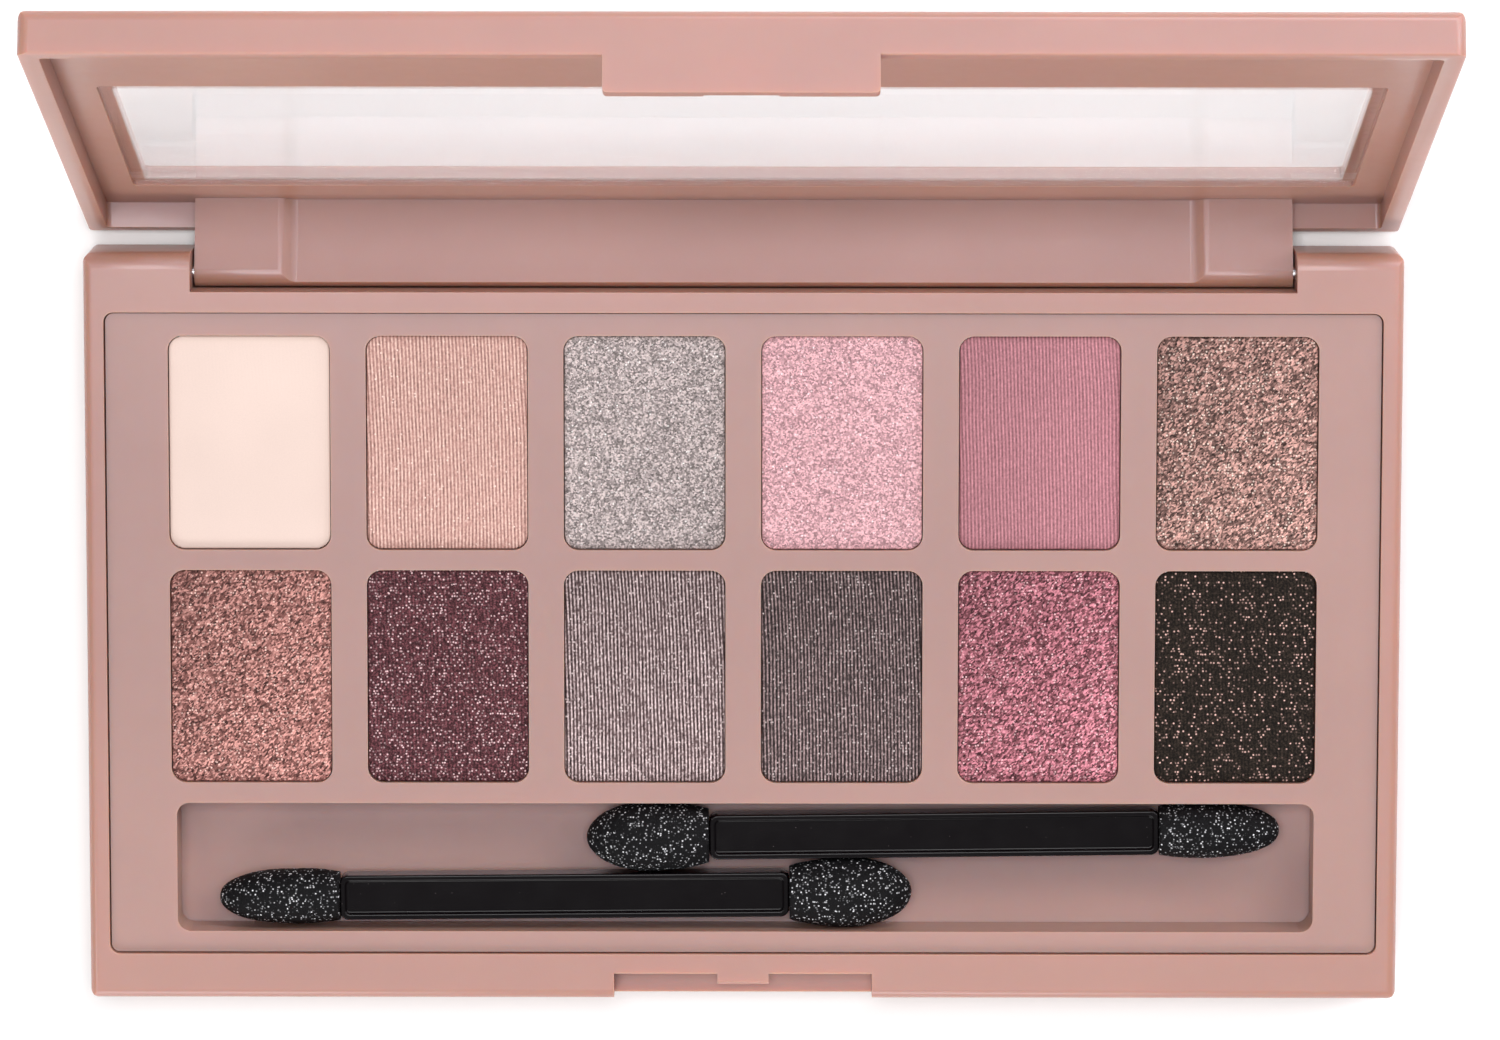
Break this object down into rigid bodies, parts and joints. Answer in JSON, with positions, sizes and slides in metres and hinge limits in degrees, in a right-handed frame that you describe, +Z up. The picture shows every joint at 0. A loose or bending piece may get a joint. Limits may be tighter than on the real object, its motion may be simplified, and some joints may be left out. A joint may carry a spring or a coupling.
{
  "type": "eyeshadow palette",
  "caption": "Hinged eyeshadow palette with a windowed lid, pressed powder pans set in an inner tray, and double-ended sponge applicators in a trough.",
  "frame": {"origin": "middle of the case's underside", "axes": "+X to the right along the hinge, +Y from the latch to the hinge, +Z up; the lid is stored open"},
  "size_m": [0.122, 0.0964, 0.0687],
  "materials": {
    "rose_plastic": "pearly satin rose-pink moulding",
    "tray_plastic": "smooth satin rose-pink moulding",
    "clear_plastic": "polished clear acrylic",
    "pan_metal": "drawn tinplate",
    "pin_steel": "bright steel with a knurled end",
    "glue": "set hot-melt glue",
    "label_paper": "blank matt film label",
    "black_plastic": "polished black",
    "black_foam": "fine open-cell foam with sparkling pores",
    "powder_ivory": "matt pressed powder",
    "powder_peach": "fine shimmer pressed powder with a ribbed grain",
    "powder_silver": "fine shimmer pressed powder",
    "powder_pink": "fine shimmer pressed powder",
    "powder_mauve": "matt pressed powder with a faint ribbed grain",
    "powder_taupe": "glittering pressed powder",
    "powder_copper_rose": "glittering pressed powder",
    "powder_plum": "dark pressed powder with fine sparkle",
    "powder_stone": "satin pressed powder with a ribbed grain",
    "powder_slate": "satin pressed powder with a ribbed grain",
    "powder_berry": "glittering pressed powder",
    "powder_espresso": "near-black pressed powder with copper sparkle"
  },
  "bodies": {
    "base": {"base_shell": "rose_plastic", "insert_tray": "tray_plastic", "pan_glue": "glue", "bottom_label": "label_paper", "pan_1": "pan_metal", "pan_2": "pan_metal", "pan_3": "pan_metal", "pan_4": "pan_metal", "pan_5": "pan_metal", "pan_6": "pan_metal", "pan_7": "pan_metal", "pan_8": "pan_metal", "pan_9": "pan_metal", "pan_10": "pan_metal", "pan_11": "pan_metal", "pan_12": "pan_metal", "powder_ivory": "powder_ivory", "powder_peach": "powder_peach", "powder_silver": "powder_silver", "powder_pink": "powder_pink", "powder_mauve": "powder_mauve", "powder_taupe": "powder_taupe", "powder_copper_rose": "powder_copper_rose", "powder_plum": "powder_plum", "powder_stone": "powder_stone", "powder_slate": "powder_slate", "powder_berry": "powder_berry", "powder_espresso": "powder_espresso", "hinge_pin_left": "pin_steel", "hinge_pin_right": "pin_steel"},
    "lid": {"lid_frame": "rose_plastic", "window_pane": "clear_plastic"},
    "applicator_1": {"applicator_1_handle": "black_plastic", "applicator_1_oval_tip": "black_foam", "applicator_1_pointed_tip": "black_foam"},
    "applicator_2": {"applicator_2_handle": "black_plastic", "applicator_2_oval_tip": "black_foam", "applicator_2_pointed_tip": "black_foam"}
  },
  "joints": [
    {"name": "lid_hinge", "type": "hinge", "parent": "base", "child": "lid", "pos_m": [0, 0.0328, 0.00455], "axis": [1, 0, 0], "range_deg": [0, 108]},
    {"name": "applicator_1_lift", "type": "slide", "parent": "base", "child": "applicator_1", "axis": [0, 0, 1], "range_m": [0, 0.03]},
    {"name": "applicator_2_lift", "type": "slide", "parent": "base", "child": "applicator_2", "axis": [0, 0, 1], "range_m": [0, 0.03]}
  ]
}
